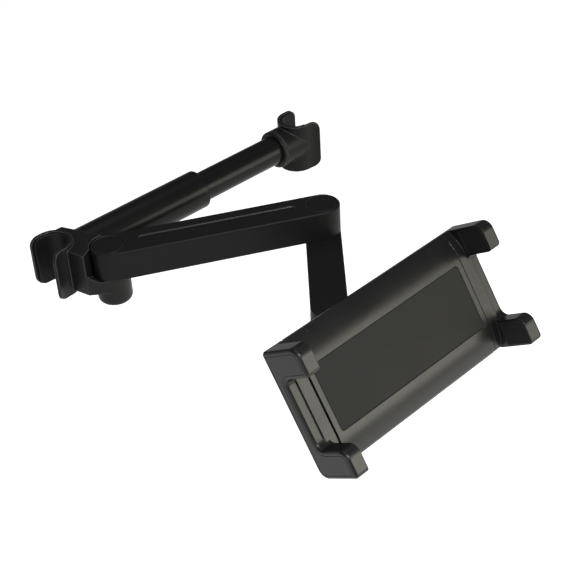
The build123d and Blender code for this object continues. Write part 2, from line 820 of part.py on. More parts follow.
# Second arm: thin beam below the first, with a nut boss at one end and a threaded insert at the other
nut_boss_bottom = arm2_bottom - nut_boss
with BuildPart() as arm2_body:
    with BuildSketch(arm2_plane):
        with Locations(((arm2_length + arm2_tail) / 2, 0)):
            SlotCenterToCenter(arm2_length + arm2_tail, 2 * arm_half_width)
    extrude(amount=arm2_thickness)
    fillet(arm2_body.faces().sort_by(Axis.Z)[-1].edges(), arm_edge_round)
    with BuildSketch(arm2_plane):
        with Locations((arm2_length / 2, 0)):
            Rectangle(arm2_length - 2 * arm_half_width, beam_width)
    extrude(amount=arm2_thickness - arm2_roof, mode=Mode.SUBTRACT)
    with BuildSketch(arm2_plane):
        with Locations((arm2_length / 2, 0)):
            Rectangle(arm2_length - 2 * arm_half_width + 2 * rib_bite, rib)
            Rectangle(arm2_length - 2 * arm_half_width + 2 * rib_bite, rib, rotation=20)
            Rectangle(arm2_length - 2 * arm_half_width + 2 * rib_bite, rib, rotation=-20)
    extrude(amount=arm2_thickness - arm2_roof)
    with BuildSketch(arm2_plane):
        Circle(cap_radius)
    extrude(amount=nut_boss_bottom - arm2_bottom)
    with BuildSketch(arm2_plane.offset(nut_boss_bottom - arm2_bottom)):
        Circle(bolt_radius + seat)
    extrude(amount=arm2_top - nut_boss_bottom, mode=Mode.SUBTRACT)
    with BuildSketch(arm2_plane.offset(nut_boss_bottom - arm2_bottom)):
        RegularPolygon(nut_across / 2 + grip_gap, 6, major_radius=False)
    extrude(amount=nut_height, mode=Mode.SUBTRACT)
    with BuildSketch(arm2_plane.offset(arm2_thickness)):
        Circle(washer_radius + seat)
    extrude(amount=-(washer_thickness - pivot_gap), mode=Mode.SUBTRACT)
    with BuildSketch(arm2_plane):
        with Locations((arm2_length, 0)):
            Circle(insert_radius + seat)
    extrude(amount=arm2_thickness - insert_roof, mode=Mode.SUBTRACT)

with BuildPart() as right_pivot_bolt:
    with BuildSketch(Plane(origin=(*pivot2, bolt_head_top))):
        Circle(bolt_head_radius)
    extrude(amount=-bolt_head)
    with BuildSketch(Plane(origin=(*pivot2, bolt_head_top))):
        RegularPolygon(bolt_socket, 6, major_radius=False)
    extrude(amount=-bolt_socket, mode=Mode.SUBTRACT)
    with BuildSketch(Plane(origin=(*pivot2, bolt_head_top - bolt_head))):
        Circle(bolt_radius)
    extrude(amount=nut_boss_bottom - (bolt_head_top - bolt_head))

with BuildPart() as right_pivot_nut:
    with BuildSketch(arm2_plane.offset(nut_boss_bottom - arm2_bottom)):
        RegularPolygon(nut_across / 2, 6, major_radius=False)
        Circle(bolt_radius + seat, mode=Mode.SUBTRACT)
    extrude(amount=nut_height)

with BuildPart() as right_head_washer:
    with BuildSketch(Plane(origin=(*pivot2, head_seat))):
        Circle(head_washer_radius)
        Circle(bolt_radius + seat, mode=Mode.SUBTRACT)
    extrude(amount=head_washer)

with BuildPart() as right_friction_washer:
    with BuildSketch(Plane(origin=(*pivot2, arm1_bottom))):
        Circle(washer_radius)
        Circle(bolt_radius + seat, mode=Mode.SUBTRACT)
    extrude(amount=-washer_thickness)

with BuildPart() as head_insert:
    with BuildSketch(Plane(origin=(*pivot3, arm2_bottom))):
        Circle(insert_radius)
        Circle(small_bolt_radius + seat, mode=Mode.SUBTRACT)
    extrude(amount=arm2_thickness - insert_roof)

# Swivel head: a disc under the second arm with a yoke of two cheeks
with BuildPart() as swivel_head:
    with BuildSketch(Plane(origin=(*pivot3, head_top))):
        Circle(arm_half_width)
    extrude(amount=head_disc_bottom + yoke_plate - head_top)
    with BuildSketch(Plane(origin=(*pivot3, head_disc_bottom), x_dir=across, z_dir=(0, 0, 1))):
        RectangleRounded(2 * (cheek_gap + cheek_thickness), cheek_top_width, rim_round)
    extrude(amount=yoke_plate)
    for cheek_start in (cheek_gap, -cheek_gap - cheek_thickness):
        with BuildSketch(tilt_plane.offset(cheek_start)):
            Circle(cheek_radius)
            with Locations((0, head_disc_bottom - tilt_height + yoke_plate / 2)):
                Rectangle(cheek_top_width - 2 * rim_round, yoke_plate)
            make_hull()
        extrude(amount=cheek_thickness)
    with BuildSketch(Plane(origin=(*pivot3, head_top))):
        Circle(small_bolt_radius + running)
    extrude(amount=2 * head_disc_bottom, mode=Mode.SUBTRACT)
    with BuildSketch(Plane(origin=(*pivot3, head_top))):
        Circle(washer_radius + seat)
    extrude(amount=-(washer_thickness - pivot_gap), mode=Mode.SUBTRACT)
    with BuildSketch(tilt_plane.offset(-2 * cheek_gap)):
        Circle(small_bolt_radius + seat)
    extrude(amount=4 * cheek_gap, mode=Mode.SUBTRACT)

with BuildPart() as head_friction_washer:
    with BuildSketch(Plane(origin=(*pivot3, arm2_bottom))):
        Circle(washer_radius)
        Circle(small_bolt_radius + running, mode=Mode.SUBTRACT)
    extrude(amount=-washer_thickness)

with BuildPart() as head_bolt:
    with BuildSketch(Plane(origin=(*pivot3, head_disc_bottom))):
        Circle(small_head_radius)
    extrude(amount=-small_head)
    with BuildSketch(Plane(origin=(*pivot3, head_disc_bottom - small_head))):
        RegularPolygon(small_socket, 6, major_radius=False)
    extrude(amount=small_socket, mode=Mode.SUBTRACT)
    with BuildSketch(Plane(origin=(*pivot3, head_disc_bottom))):
        Circle(small_bolt_radius)
    extrude(amount=arm2_top - insert_roof - screw_sink - head_disc_bottom)

tilt_seat = cheek_gap + cheek_thickness
with BuildPart() as tilt_bolt:
    with BuildSketch(tilt_plane.offset(tilt_seat)):
        Circle(small_head_radius)
    extrude(amount=small_head)
    with BuildSketch(tilt_plane.offset(tilt_seat + small_head)):
        RegularPolygon(small_socket, 6, major_radius=False)
    extrude(amount=-small_socket, mode=Mode.SUBTRACT)
    with BuildSketch(tilt_plane.offset(tilt_seat)):
        Circle(small_bolt_radius)
    extrude(amount=-2 * tilt_seat - small_nut)

with BuildPart() as tilt_nut:
    with BuildSketch(tilt_plane.offset(-tilt_seat)):
        RegularPolygon(small_nut_across / 2, 6, major_radius=False)
        Circle(small_bolt_radius + seat, mode=Mode.SUBTRACT)
    extrude(amount=-small_nut)

# Tilt knuckle: barrel between the cheeks, tongue, flared flange and the spigot the cradle spins on
flange_back = flange_n - flange_thickness
tongue_end = tongue_length - neck_reach
with BuildPart() as tilt_knuckle:
    with BuildSketch(tilt_plane.offset(clear - cheek_gap)):
        Circle(barrel_radius)
    extrude(amount=2 * (cheek_gap - clear))
    with BuildSketch(face_plane(-neck_reach)):
        Rectangle(tongue_thickness, tongue_width)
    extrude(amount=tongue_length)
    with BuildSketch(section_plane(0)):
        with BuildLine():
            Polyline(
                (0, tongue_end - spigot_radius),
                (tongue_thickness / 2, tongue_end),
                (flange_radius, flange_back),
                (flange_radius, flange_n),
                (spigot_radius, flange_n),
                (spigot_radius, tray_floor),
                (0, tray_floor),
                close=True,
            )
        make_face()
    revolve(axis=Axis(cradle_centre, normal))
    with BuildSketch(tilt_plane.offset(-2 * cheek_gap)):
        Circle(small_bolt_radius + running)
    extrude(amount=4 * cheek_gap, mode=Mode.SUBTRACT)
    with BuildSketch(face_plane(tray_floor)):
        Circle(spin_screw_radius + seat)
    extrude(amount=-spin_screw_length, mode=Mode.SUBTRACT)

with BuildPart() as spin_friction_ring:
    with BuildSketch(face_plane(boss_back)):
        Circle(flange_radius - rim_round)
        Circle(spigot_radius + seat, mode=Mode.SUBTRACT)
    extrude(amount=-washer_thickness)

with BuildPart() as spin_washer:
    with BuildSketch(face_plane(tray_floor)):
        Circle(spin_washer_radius)
        Circle(spin_screw_radius + seat, mode=Mode.SUBTRACT)
    extrude(amount=head_washer)

with BuildPart() as spin_screw:
    with BuildSketch(face_plane(tray_floor + head_washer)):
        Circle(spin_head_radius)
    extrude(amount=spin_head)
    with BuildSketch(face_plane(tray_floor + head_washer + spin_head)):
        RegularPolygon(spin_socket, 6, major_radius=False)
    extrude(amount=-spin_socket, mode=Mode.SUBTRACT)
    with BuildSketch(face_plane(tray_floor + head_washer)):
        Circle(spin_screw_radius)
    extrude(amount=-spin_screw_length)

# Cradle tray with the spin boss, rails for the jaw slides and the gear's post
slide_lines = (
    slide_inner_v - slide_width,
    -slide_inner_v,
    slide_outer_v,
    -slide_outer_v - slide_width,
)
with BuildPart() as back_tray:
    with BuildSketch(side_plane(-plate_half_length)):
        with BuildLine():
            Polyline(
                (plate_half_height, seam_n),
                (plate_half_height, edge_n),
                (back_v, back_n),
                (-back_v, back_n),
                (-plate_half_height, edge_n),
                (-plate_half_height, seam_n),
                (tray_wall - plate_half_height, seam_n),
                (tray_wall - plate_half_height, tray_floor),
                (plate_half_height - tray_wall, tray_floor),
                (plate_half_height - tray_wall, seam_n),
                close=True,
            )
        make_face()
    extrude(amount=2 * plate_half_length)
    with BuildSketch(face_plane(tray_floor)):
        with Locations((plate_half_length - tray_end / 2, 0), (tray_end / 2 - plate_half_length, 0)):
            Rectangle(tray_end, 2 * (plate_half_height - tray_wall + rib_bite))
    extrude(amount=seam_n - tray_floor)
    with BuildSketch(face_plane(tray_floor)):
        for low_v in slide_lines:
            with Locations((0, low_v + slide_width / 2)):
                Rectangle(2 * (plate_half_length - rail_inset), rail_width)
    extrude(amount=rail_height - tray_floor)
    with BuildSketch(face_plane(tray_floor)):
        with Locations((0, gear_v)):
            Circle(post_radius)
    extrude(amount=arm_high - tray_floor)
    with BuildSketch(section_plane(0)):
        with BuildLine():
            Polyline(
                (0, back_n),
                (boss_root_radius, back_n),
                (boss_tip_radius, boss_back),
                (0, boss_back),
                close=True,
            )
        make_face()
    revolve(axis=Axis(cradle_centre, normal))
    with BuildSketch(face_plane(boss_back)):
        Circle(spigot_radius + running)
    extrude(amount=tray_floor - boss_back, mode=Mode.SUBTRACT)
    with BuildSketch(face_plane(back_n)):
        with GridLocations(2 * case_screw_h, 2 * case_screw_v, 2, 2):
            Circle(case_screw_radius + seat)
    extrude(amount=tray_floor - back_n, mode=Mode.SUBTRACT)
    with BuildSketch(face_plane(back_n)):
        with GridLocations(2 * case_screw_h, 2 * case_screw_v, 2, 2):
            Circle(case_boss_radius + grip_gap)
    extrude(amount=screw_sink, mode=Mode.SUBTRACT)

with BuildPart() as tray_screws:
    with BuildSketch(face_plane(back_n)):
        with GridLocations(2 * case_screw_h, 2 * case_screw_v, 2, 2):
            Circle(case_boss_radius)
    extrude(amount=screw_sink)
    with BuildSketch(face_plane(back_n + screw_sink)):
        with GridLocations(2 * case_screw_h, 2 * case_screw_v, 2, 2):
            Circle(case_screw_radius)
    extrude(amount=case_screw_length)

with BuildPart() as front_plate:
    with BuildSketch(side_plane(-plate_half_length)):
        add(jaw_outline())
        with BuildLine():
            Polyline(
                (plate_half_height + overcut, seam_n),
                (plate_half_height - tray_wall, seam_n),
                (plate_inner_v, plate_under),
                (-plate_inner_v, plate_under),
                (tray_wall - plate_half_height, seam_n),
                (-plate_half_height - overcut, seam_n),
                (-plate_half_height - overcut, back_n - overcut),
                (plate_half_height + overcut, back_n - overcut),
                close=True,
            )
        make_face(mode=Mode.SUBTRACT)
    extrude(amount=2 * plate_half_length)
    with BuildSketch(face_plane(tray_floor)):
        with GridLocations(2 * case_screw_h, 2 * case_screw_v, 2, 2):
            Circle(case_boss_radius)
    extrude(amount=plate_under - case_boss_gap - tray_floor)
    with BuildSketch(face_plane(tray_floor)):
        with GridLocations(2 * case_screw_h, 2 * case_screw_v, 2, 2):
            Circle(case_screw_radius + seat)
    extrude(amount=case_screw_length - (tray_floor - back_n) + screw_sink, mode=Mode.SUBTRACT)
    with BuildSketch(face_plane(0)):
        RectangleRounded(pad_length, pad_height, pad_corner)
    extrude(amount=-pad_thickness, mode=Mode.SUBTRACT)

with BuildPart() as plate_pad:
    with BuildSketch(face_plane(0)):
        RectangleRounded(pad_length - 2 * pad_play, pad_height - 2 * pad_play, pad_corner - pad_play)
    extrude(amount=-pad_thickness)

# Linking gear on its post, with the spiral return spring below it
tooth_height = addendum + dedendum + tooth_sink
with BuildPart() as link_gear:
    with BuildSketch(face_plane(arm_low)):
        with Locations((0, gear_v)):
            Circle(gear_radius - dedendum)
            with PolarLocations(gear_radius + addendum - tooth_height / 2, gear_teeth, start_angle=90):
                Trapezoid(gear_tooth_base, tooth_height, gear_flank, rotation=-90)
            Circle(post_radius + running, mode=Mode.SUBTRACT)
    extrude(amount=arm_high - arm_low)

with BuildPart() as return_spring:
    with BuildSketch(face_plane(tray_floor)):
        with BuildLine() as spiral:
            step = spring_strip
            for k in range(spiral_half_turns):
                turn = 1 if k % 2 == 0 else -1
                radius = spiral_start + k * step
                middle = 0 if k % 2 == 0 else -step
                ThreePointArc(
                    (middle - turn * radius, gear_v),
                    (middle, gear_v + turn * radius),
                    (middle + turn * radius, gear_v),
                )
        trace(line_width=spring_strip)
    extrude(amount=spiral_height)

# Jaws
with BuildPart() as left_jaw:
    mirror(jaw_end(left_split), about=side_plane(0))
    add(slide_bar(-1, slide_lines[0], left_split))
    add(slide_bar(-1, slide_lines[1], left_split))
    with BuildSketch(face_plane(arm_low)):
        add(rack_teeth(-1, slide_inner_v, 1))
    extrude(amount=arm_high - arm_low)

with BuildPart() as right_jaw:
    add(jaw_end(right_split))
    add(slide_bar(1, slide_lines[2], right_split))
    add(slide_bar(1, slide_lines[3], right_split))
    with BuildSketch(face_plane(arm_low)):
        add(rack_teeth(1, slide_outer_v, -1))
    extrude(amount=arm_high - arm_low)

with BuildPart() as left_grips:
    with BuildSketch(side_plane(-claw_inner - grip_sunk)):
        add(grip_faces(0))
    extrude(amount=grip_thickness)

with BuildPart() as right_grips:
    with BuildSketch(side_plane(claw_inner + grip_sunk)):
        add(grip_faces(0))
    extrude(amount=-grip_thickness)

pieces = {
    "left_clamp": left_clamp,
    "left_hook_liner": left_hook_liner,
    "outer_sleeve": outer_sleeve,
    "sleeve_bush": sleeve_bush,
    "sleeve_screw": sleeve_screw,
    "bar_spring": bar_spring,
    "inner_tube": inner_tube,
    "tube_guide": tube_guide,
    "spring_stop": spring_stop,
    "right_clamp": right_clamp,
    "right_hook_liner": right_hook_liner,
    "collar_screw": collar_screw,
    "arm1_body": arm1_body,
    "arm1_cover": arm1_cover,
    "arm1_cover_screws": arm1_cover_screws,
    "left_cap": left_cap,
    "right_cap": right_cap,
    "left_pivot_bolt": left_pivot_bolt,
    "left_pivot_nut": left_pivot_nut,
    "left_head_washer": left_head_washer,
    "left_friction_washer": left_friction_washer,
    "arm2_body": arm2_body,
    "right_pivot_bolt": right_pivot_bolt,
    "right_pivot_nut": right_pivot_nut,
    "right_head_washer": right_head_washer,
    "right_friction_washer": right_friction_washer,
    "head_insert": head_insert,
    "swivel_head": swivel_head,
    "head_friction_washer": head_friction_washer,
    "head_bolt": head_bolt,
    "tilt_bolt": tilt_bolt,
    "tilt_nut": tilt_nut,
    "tilt_knuckle": tilt_knuckle,
    "spin_friction_ring": spin_friction_ring,
    "spin_washer": spin_washer,
    "spin_screw": spin_screw,
    "back_tray": back_tray,
    "tray_screws": tray_screws,
    "front_plate": front_plate,
    "plate_pad": plate_pad,
    "link_gear": link_gear,
    "return_spring": return_spring,
    "left_jaw": left_jaw,
    "right_jaw": right_jaw,
    "left_grips": left_grips,
    "right_grips": right_grips,
}
for label, piece in pieces.items():
    piece.part.label = label
    export_step(piece.part, f"parts/{label}.step")
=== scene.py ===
# %% [markdown]
# # A tablet mount for a car headrest
# The mount hooks on the two posts of a headrest. A telescopic bar joins the hooks, two flat arms
# fold out from it, and a cradle on a tilting head grips the tablet with four claws. The solids come
# from the CAD model as a fixed frame. This lesson lights them, gives them their finishes, and models
# the soft rubber pieces and the bar's spring by hand.

# %% Load the frame
import json
from math import cos, pi, radians, sin

import bmesh
import bpy
from mathutils import Matrix, Quaternion, Vector


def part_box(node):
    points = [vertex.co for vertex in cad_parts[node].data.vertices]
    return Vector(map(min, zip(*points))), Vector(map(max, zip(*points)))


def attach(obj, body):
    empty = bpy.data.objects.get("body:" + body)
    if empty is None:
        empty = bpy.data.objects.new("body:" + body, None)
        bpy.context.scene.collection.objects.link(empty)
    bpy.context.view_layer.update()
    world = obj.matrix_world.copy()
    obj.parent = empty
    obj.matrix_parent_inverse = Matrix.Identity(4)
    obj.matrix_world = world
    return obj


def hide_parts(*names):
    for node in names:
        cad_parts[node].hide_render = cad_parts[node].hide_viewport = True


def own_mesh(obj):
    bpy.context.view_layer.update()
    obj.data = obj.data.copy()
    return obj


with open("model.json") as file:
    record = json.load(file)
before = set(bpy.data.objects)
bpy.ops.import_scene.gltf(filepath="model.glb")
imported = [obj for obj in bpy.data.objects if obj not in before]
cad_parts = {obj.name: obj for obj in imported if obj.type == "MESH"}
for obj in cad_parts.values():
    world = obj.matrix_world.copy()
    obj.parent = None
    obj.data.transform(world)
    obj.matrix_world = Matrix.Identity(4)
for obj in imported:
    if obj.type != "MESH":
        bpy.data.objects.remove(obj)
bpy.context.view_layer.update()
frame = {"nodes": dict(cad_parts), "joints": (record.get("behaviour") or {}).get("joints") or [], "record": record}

# %% [markdown]
# ## Camera
# The photograph looks down on the mount from the front left, through a long lens that keeps the
# arms nearly parallel. A camera can be aimed with a constraint, but three angles say more plainly
# how it is held: its heading, how far it looks down, and the small roll of a hand-held shot.

# %% Camera
camera_place = Vector((-0.3400, -0.6107, 0.4774))
heading, look_down, roll = radians(49.58), radians(36.46), radians(-3.57)
focal_length, sensor_width = 87.41, 36.0

camera_data = bpy.data.cameras.new("photo_camera")
camera_data.lens = focal_length
camera_data.sensor_width = sensor_width
camera = bpy.data.objects.new("photo_camera", camera_data)
bpy.context.collection.objects.link(camera)
view_line = Vector(
    (cos(look_down) * cos(heading), cos(look_down) * sin(heading), -sin(look_down))
)
aim = view_line.to_track_quat("-Z", "Y") @ Quaternion((0, 0, 1), roll)
camera.matrix_world = Matrix.Translation(camera_place) @ aim.to_matrix().to_4x4()
bpy.context.scene.camera = camera
print("camera at", tuple(round(v, 4) for v in camera_place), "lens", camera_data.lens)

# %% [markdown]
# ## Floor and light
# The background of the photograph is plain white. The camera looks down so steeply that a wide
# floor fills the whole view, so the floor alone makes the background, and no backdrop is needed.

# %% Floor
floor_level, floor_size, floor_white = -0.34, 40.0, (0.85, 0.85, 0.85, 1.0)
bpy.ops.mesh.primitive_plane_add(size=floor_size, location=(0.0, 0.0, floor_level))
floor = bpy.context.object
floor.name = "studio_floor"
floor_paint = bpy.data.materials.new("studio_floor_paint")
floor_paint.use_nodes = True
floor_shader = floor_paint.node_tree.nodes["Principled BSDF"]
floor_shader.inputs["Base Color"].default_value = floor_white
floor_shader.inputs["Roughness"].default_value = 0.9
floor_shader.inputs["Specular IOR Level"].default_value = 0.0
floor_shader.inputs["Emission Color"].default_value = (1.0, 1.0, 1.0, 1.0)
floor.data.materials.append(floor_paint)
print("floor at", floor_level)

# %% [markdown]
# More lamps could make the floor white, but they would also light the mount too much. So part of
# the white is a glow of the floor's own. Light Path tells which rays meet it: the camera sees most
# of the glow, reflections see a weaker one, and the mount gets none of it as light. The rest of the
# white is the light that falls on the floor, so a faint shadow of the mount stays.

# %% Floor glow
glow_for_camera, glow_in_reflections = 0.72, 0.35
nodes, links = floor_paint.node_tree.nodes, floor_paint.node_tree.links
rays = nodes.new("ShaderNodeLightPath")
mirrored = nodes.new("ShaderNodeMath")
mirrored.operation = "MAXIMUM"
mirrored_glow = nodes.new("ShaderNodeMath")
mirrored_glow.operation = "MULTIPLY"
mirrored_glow.inputs[1].default_value = glow_in_reflections
seen_glow = nodes.new("ShaderNodeMath")
seen_glow.operation = "MULTIPLY_ADD"
seen_glow.inputs[1].default_value = glow_for_camera
links.new(rays.outputs["Is Glossy Ray"], mirrored.inputs[0])
links.new(rays.outputs["Is Transmission Ray"], mirrored.inputs[1])
links.new(mirrored.outputs[0], mirrored_glow.inputs[0])
links.new(rays.outputs["Is Camera Ray"], seen_glow.inputs[0])
links.new(mirrored_glow.outputs[0], seen_glow.inputs[2])
links.new(seen_glow.outputs[0], floor_shader.inputs["Emission Strength"])
print("floor glow:", glow_for_camera, "in reflections:", glow_in_reflections)

# %% [markdown]
# Satin black shows its form only through what it reflects, so soft panels stand where a surface
# mirrors them to the camera. A panel could be a glowing plane, but an area lamp is sampled better.
# Its strength is given as the brightness of its surface, because that is what a reflection shows.

# %% Panel helper
mount_middle = Vector((0.09, -0.09, -0.01))


def soft_panel(name, place, width, height, brightness, colour=(1.0, 1.0, 1.0)):
    """Adds a rectangular soft lamp at place, facing the middle of the mount."""
    lamp = bpy.data.lights.new(name, "AREA")
    lamp.shape = "RECTANGLE"
    lamp.size = width
    lamp.size_y = height
    lamp.energy = brightness * pi * width * height
    lamp.color = colour
    holder = bpy.data.objects.new(name, lamp)
    bpy.context.collection.objects.link(holder)
    holder.location = place
    holder.rotation_euler = (mount_middle - Vector(place)).to_track_quat("-Z", "Y").to_euler()


# %% [markdown]
# There are four panels: a wide one overhead for the long highlight on the bar, one at the left for
# the round ends of the arm and hooks, a low and slightly warm one at the right in front, which the
# face of the cradle mirrors, and a small bright one high in front for the thin lines along edges.

# %% Lamps
warm = (1.0, 0.975, 0.84)
soft_panel("overhead_panel", (0.05, 0.25, 1.25), width=1.4, height=0.9, brightness=0.9)
soft_panel("left_panel", (-0.95, -0.60, 0.35), width=0.7, height=0.7, brightness=2.6)
soft_panel("cradle_panel", (0.64, -1.16, 0.22), width=0.72, height=0.65, brightness=6.3, colour=warm)
soft_panel("edge_panel", (0.02, -0.80, 0.93), width=0.32, height=0.32, brightness=36.0)

# %% [markdown]
# The air of the studio adds a little even light from all sides, so that no hollow goes fully black.

# %% Studio air
air_glow = 0.10
world = bpy.data.worlds.new("studio_air")
bpy.context.scene.world = world
world.use_nodes = True
world.node_tree.nodes["Background"].inputs["Color"].default_value = (1.0, 1.0, 1.0, 1.0)
world.node_tree.nodes["Background"].inputs["Strength"].default_value = air_glow
bpy.context.scene.view_settings.view_transform = "Standard"
print("air:", air_glow)

# %% [markdown]
# ## Shared surface effects
# Every moulding shows two things under a lens: a fine even grain from the etched tool, and edges
# that are never quite sharp. Both are used by several finishes, so each is built once as a node
# group and placed with its own values. The grain is two sizes of noise, a fine one for the bump and
# a slow one for the gloss. They read object coordinates, so they stay put when a piece moves.

# %% Grain group
grain = bpy.data.node_groups.new("moulded_grain", "ShaderNodeTree")
for socket, value in (("Grain Scale", 2600.0), ("Cloud Scale", 45.0)):
    new_input = grain.interface.new_socket(socket, in_out="INPUT", socket_type="NodeSocketFloat")
    new_input.default_value = value
for socket in ("Height", "Cloud"):
    grain.interface.new_socket(socket, in_out="OUTPUT", socket_type="NodeSocketFloat")
nodes, links = grain.nodes, grain.links
grain_in = nodes.new("NodeGroupInput")
grain_out = nodes.new("NodeGroupOutput")
spot_on_piece = nodes.new("ShaderNodeTexCoord")
fine = nodes.new("ShaderNodeTexNoise")
fine.inputs["Detail"].default_value = 3.0
cloud = nodes.new("ShaderNodeTexNoise")
cloud.inputs["Detail"].default_value = 4.0
links.new(spot_on_piece.outputs["Object"], fine.inputs["Vector"])
links.new(spot_on_piece.outputs["Object"], cloud.inputs["Vector"])
links.new(grain_in.outputs["Grain Scale"], fine.inputs["Scale"])
links.new(grain_in.outputs["Cloud Scale"], cloud.inputs["Scale"])
links.new(fine.outputs["Fac"], grain_out.inputs["Height"])
links.new(cloud.outputs["Fac"], grain_out.inputs["Cloud"])
print("group:", grain.name)

# %% [markdown]
# The edge group compares the surface normal with one that is rounded over a short radius. Where
# they differ there is an edge, so the group gives both the rounded normal and a mask of the rim,
# which a finish uses to polish it and to paint a highlight along it. Real bevels on every solid
# could do the same, but the solids are fixed, and the mask follows them wherever they have an edge.

# %% Edge group
fine_edge = 0.0005
rim_starts, rim_full = 0.995, 0.80
edges = bpy.data.node_groups.new("soft_edges", "ShaderNodeTree")
radius_in = edges.interface.new_socket("Radius", in_out="INPUT", socket_type="NodeSocketFloat")
radius_in.default_value = fine_edge
edges.interface.new_socket("Normal", in_out="OUTPUT", socket_type="NodeSocketVector")
edges.interface.new_socket("Rim", in_out="OUTPUT", socket_type="NodeSocketFloat")
nodes, links = edges.nodes, edges.links
edges_in = nodes.new("NodeGroupInput")
edges_out = nodes.new("NodeGroupOutput")
rounded = nodes.new("ShaderNodeBevel")
rounded.samples = 6
plain = nodes.new("ShaderNodeNewGeometry")
same = nodes.new("ShaderNodeVectorMath")
same.operation = "DOT_PRODUCT"
rim = nodes.new("ShaderNodeMapRange")
rim.inputs["From Min"].default_value = rim_starts
rim.inputs["From Max"].default_value = rim_full
links.new(edges_in.outputs["Radius"], rounded.inputs["Radius"])
links.new(rounded.outputs["Normal"], same.inputs[0])
links.new(plain.outputs["Normal"], same.inputs[1])
links.new(same.outputs["Value"], rim.inputs["Value"])
links.new(rounded.outputs["Normal"], edges_out.inputs["Normal"])
links.new(rim.outputs["Result"], edges_out.inputs["Rim"])
print("group:", edges.name)

# %% [markdown]
# ## Finishes
# One helper wires a finish: the grain drives a bump and a slow change of gloss, and the rim mask
# lightens the colour along edges, which is a painted highlight, and polishes them. What differs
# between the real materials is only how coarse, how deep, how glossy and how pale they are, so those
# are its values.

# %% Finish helper
gloss_spread, edge_polish, bump_strength = 0.06, 0.12, 0.35


def satin_finish(
    name,
    colour,
    edge_highlight_colour,
    roughness,
    specular,
    grain_scale,
    grain_depth,
    metallic=0.0,
    edge_radius=fine_edge,
):
    """Makes a finish with fine grain, uneven gloss, polished edges and a painted highlight along them."""
    finish = bpy.data.materials.new(name)
    finish.use_nodes = True
    nodes, links = finish.node_tree.nodes, finish.node_tree.links
    shader = nodes["Principled BSDF"]
    shader.inputs["Specular IOR Level"].default_value = specular
    shader.inputs["Metallic"].default_value = metallic
    skin = nodes.new("ShaderNodeGroup")
    skin.node_tree = grain
    skin.inputs["Grain Scale"].default_value = grain_scale
    corner = nodes.new("ShaderNodeGroup")
    corner.node_tree = edges
    corner.inputs["Radius"].default_value = edge_radius
    gloss = nodes.new("ShaderNodeMapRange")
    gloss.inputs["To Min"].default_value = roughness - gloss_spread
    gloss.inputs["To Max"].default_value = roughness + gloss_spread
    polish = nodes.new("ShaderNodeMath")
    polish.operation = "MULTIPLY_ADD"
    polish.inputs[1].default_value = -edge_polish
    # The mix below paints a highlight into the colour along the rim mask.
    edge_highlight_mix = nodes.new("ShaderNodeMix")
    edge_highlight_mix.data_type = "RGBA"
    edge_highlight_mix.inputs["A"].default_value = (*colour, 1.0)
    edge_highlight_mix.inputs["B"].default_value = (*edge_highlight_colour, 1.0)
    bump = nodes.new("ShaderNodeBump")
    bump.inputs["Strength"].default_value = bump_strength
    bump.inputs["Distance"].default_value = grain_depth
    links.new(skin.outputs["Cloud"], gloss.inputs["Value"])
    links.new(corner.outputs["Rim"], polish.inputs[0])
    links.new(gloss.outputs["Result"], polish.inputs[2])
    links.new(polish.outputs[0], shader.inputs["Roughness"])
    links.new(corner.outputs["Rim"], edge_highlight_mix.inputs["Factor"])
    links.new(edge_highlight_mix.outputs["Result"], shader.inputs["Base Color"])
    links.new(skin.outputs["Height"], bump.inputs["Height"])
    links.new(corner.outputs["Normal"], bump.inputs["Normal"])
    links.new(bump.outputs["Normal"], shader.inputs["Normal"])
    return finish


# %% [markdown]
# The outside is black plastic and coated tube. Clamps, arms and cradle take a little more or less of
# the light in their gloss. The clamp's black is a little lighter than the rest, painted light that
# lifts its faces that lie in shade, and the arms' black is a little lighter too. Edges get a painted
# highlight, the brightest on the clamps and the plain mouldings. One black for all would be simpler,
# but in the photograph the cradle clearly shines and the arms don't.

# %% Moulded finishes
black = (0.0055, 0.0055, 0.0057)
# The clamp's black is lighter as painted light for its shaded faces.
clamp_black_painted_lighter, arm_black = (0.007, 0.007, 0.0072), (0.0075, 0.0075, 0.0077)
# Both rim greys are painted highlights along edges, the second one the brighter.
soft_edge_highlight_paint, bright_edge_highlight_paint = (0.034, 0.034, 0.0345), (0.060, 0.060, 0.061)
etched = {"roughness": 0.38, "grain_scale": 2600.0, "grain_depth": 0.00006, "edge_radius": 0.0011}
polished = {"roughness": 0.34, "grain_scale": 2800.0, "grain_depth": 0.00004}
coated = {"roughness": 0.28, "grain_scale": 1400.0, "grain_depth": 0.00003}
moulding = satin_finish("satin_moulding", black, bright_edge_highlight_paint, specular=0.125, **etched)
clamp_skin = satin_finish("clamp_moulding", clamp_black_painted_lighter, bright_edge_highlight_paint, specular=0.18, **etched)
arm_skin = satin_finish("arm_moulding", arm_black, soft_edge_highlight_paint, specular=0.10, **etched)
shell = satin_finish("cradle_moulding", black, soft_edge_highlight_paint, specular=0.36, **polished)
tube_coat = satin_finish("tube_coating", black, soft_edge_highlight_paint, specular=0.13, **coated)
print("moulded finishes:", [m.name for m in (moulding, clamp_skin, arm_skin, shell, tube_coat)])

# %% [markdown]
# Rubber is duller than the mouldings and has a coarser skin. The liners in the hooks are the
# darkest, which is painted shade for the deep inside of the hooks, with a pale painted highlight on
# their rims, and the cradle's wide pad is the greyest. Every rubber's rim colour is a painted edge
# highlight.

# %% Rubber finishes
rubber_black, rubber_rim = (0.011, 0.011, 0.011), (0.018, 0.018, 0.018)
